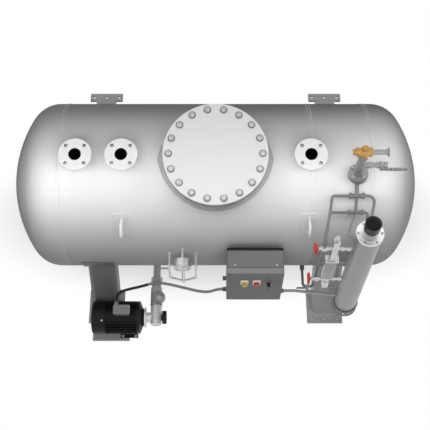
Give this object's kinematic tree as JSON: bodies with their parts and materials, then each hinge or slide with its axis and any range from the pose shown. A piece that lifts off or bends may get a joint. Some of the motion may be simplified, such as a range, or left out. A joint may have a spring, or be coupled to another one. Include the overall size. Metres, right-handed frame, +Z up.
{
  "type": "steam accumulator",
  "caption": "Horizontal steel pressure vessel on legs with dished ends, manhole, flanged nozzles, pump set, control box, level bottle with sight gauge and safety valve.",
  "frame": {"origin": "on the floor, under the middle of the whole plant", "axes": "+X along the vessel, toward the level bottle; -Y toward the control box; +Z up"},
  "size_m": [2.4444, 1.494, 1.429],
  "materials": {
    "vessel_steel": "satin stainless sheet, rolled and ground",
    "cover_steel": "light matt grey plate",
    "flange_steel": "machined and pickled stainless",
    "leg_grey": "satin mid grey",
    "motor_black": "satin black",
    "lid_grey": "satin light grey",
    "pump_iron": "rough cast, grey",
    "pipe_steel": "drawn tube, half bright",
    "box_grey": "satin grey enamel",
    "lamp_yellow": "clear yellow lens",
    "button_red": "bright red",
    "knob_black": "moulded black",
    "cable_black": "black sheath",
    "bottle_grey": "satin warm grey",
    "bottle_cap": "machined light steel",
    "fitting_chrome": "bright plated",
    "gauge_glass": "clear",
    "valve_brass": "bare brass",
    "gauge_case": "bright case with a white dial"
  },
  "bodies": {
    "plant": {"shell": "vessel_steel", "left_head": "vessel_steel", "right_head": "vessel_steel", "manhole_neck": "flange_steel", "manhole_cover": "cover_steel", "left_nozzle": "flange_steel", "middle_nozzle": "flange_steel", "right_nozzle": "flange_steel", "front_left_leg": "leg_grey", "front_right_leg": "leg_grey", "rear_left_leg": "leg_grey", "rear_right_leg": "leg_grey", "rear_left_bracket": "leg_grey", "rear_right_bracket": "leg_grey", "left_lifting_eye": "flange_steel", "right_lifting_eye": "flange_steel", "pump_base": "leg_grey", "motor": "motor_black", "fan_cover": "motor_black", "terminal_box": "lid_grey", "pump": "pump_iron", "strainer": "motor_black", "suction_line": "pump_iron", "control_box": "box_grey", "control_cover": "box_grey", "signal_lamp": "lamp_yellow", "stop_button": "button_red", "motor_cable": "cable_black", "level_conduit": "pipe_steel", "level_bottle": "bottle_grey", "bottle_flange": "bottle_cap", "sensor_head": "knob_black", "bottle_skirt": "bottle_grey", "bottle_clamp": "leg_grey", "gauge_fittings": "fitting_chrome", "sight_glass": "gauge_glass", "stack_nozzle": "flange_steel", "stack_column": "pipe_steel", "safety_valve": "valve_brass", "ball_valve": "pipe_steel", "header_pipe": "pipe_steel", "gauge_tubes": "pipe_steel", "drain_cock": "pump_iron", "bottle_tubes": "pipe_steel", "pressure_gauge": "gauge_case", "pressure_loop": "pipe_steel"},
    "upper_wheel": {"upper_handwheel": "button_red"},
    "lower_wheel": {"lower_handwheel": "button_red"},
    "lever": {"valve_lever": "pipe_steel"},
    "switch": {"selector_switch": "knob_black"}
  },
  "joints": [
    {"name": "upper_wheel_turn", "type": "hinge", "parent": "plant", "child": "upper_wheel", "pos_m": [0.548, -0.574, 1.061], "axis": [1, 0, 0], "continuous": true},
    {"name": "lower_wheel_turn", "type": "hinge", "parent": "plant", "child": "lower_wheel", "pos_m": [0.548, -0.574, 0.64], "axis": [1, 0, 0], "continuous": true},
    {"name": "lever_turn", "type": "hinge", "parent": "plant", "child": "lever", "pos_m": [0.908, -0.179, 1.246], "axis": [0, 1, 0], "range_deg": [0, 90]},
    {"name": "switch_turn", "type": "hinge", "parent": "plant", "child": "switch", "pos_m": [0.309, -0.625, 0.691], "axis": [0, 1, 0], "range_deg": [-45, 45]}
  ]
}
